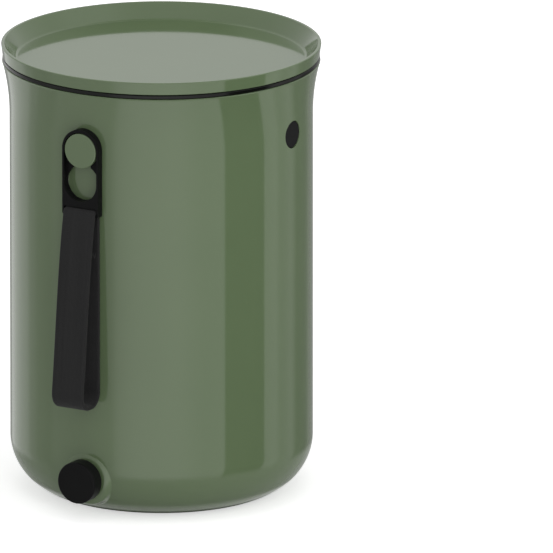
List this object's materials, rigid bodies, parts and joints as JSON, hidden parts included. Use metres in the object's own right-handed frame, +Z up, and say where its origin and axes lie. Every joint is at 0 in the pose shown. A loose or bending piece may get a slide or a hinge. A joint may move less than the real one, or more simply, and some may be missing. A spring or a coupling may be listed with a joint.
{
  "type": "bokashi bin",
  "caption": "Round kitchen fermentation bin with a dish-topped lid and seal, a hanging strap loop on a stud, a lift-out strainer and a rotary drain knob.",
  "frame": {"origin": "centre of the underside of the base, on the pot's axis", "axes": "+Z up along the pot's axis; the strap and the drain knob face -Y; the plug that the picture shows is on +X"},
  "size_m": [0.23, 0.2503, 0.33],
  "materials": {
    "green_plastic": "glossy, smooth",
    "black_plastic": "satin",
    "black_rubber": "matt",
    "black_webbing": "woven",
    "steel": "brushed"
  },
  "bodies": {
    "pot": {"bucket_shell": "green_plastic", "base_pad": "black_rubber", "side_plug_right": "black_rubber", "side_plug_left": "black_rubber", "strap_stud": "green_plastic", "stud_gasket": "black_rubber", "stud_nut": "black_plastic", "spigot_body": "black_plastic", "spigot_gasket": "black_rubber", "spigot_washer": "black_rubber", "spigot_nut": "black_plastic"},
    "lid": {"lid_cover": "green_plastic", "lid_seal": "black_rubber"},
    "strainer_plate": {"strainer": "black_plastic"},
    "strap_plate": {"strap_bracket": "black_plastic"},
    "strap_loop": {"strap_webbing": "black_webbing"},
    "drain_knob": {"spigot_knob": "black_plastic", "knob_o_ring_outer": "black_rubber", "knob_o_ring_inner": "black_rubber", "knob_clip": "steel"}
  },
  "joints": [
    {"name": "lid_lift", "type": "slide", "parent": "pot", "child": "lid", "axis": [0, 0, 1], "range_m": [0, 0.15]},
    {"name": "strainer_lift", "type": "slide", "parent": "pot", "child": "strainer_plate", "axis": [0, 0, 1], "range_m": [0, 0.2]},
    {"name": "strap_swivel", "type": "hinge", "parent": "pot", "child": "strap_plate", "pos_m": [0, -0.1129, 0.2758], "axis": [0, -1, 0], "range_deg": [-90, 90]},
    {"name": "loop_lift", "type": "hinge", "parent": "strap_plate", "child": "strap_loop", "pos_m": [0, -0.1139, 0.2288], "axis": [-1, 0, 0], "range_deg": [0, 90]},
    {"name": "knob_turn", "type": "hinge", "parent": "pot", "child": "drain_knob", "pos_m": [0, -0.1162, 0.0305], "axis": [0, -1, 0], "range_deg": [0, 90]}
  ]
}
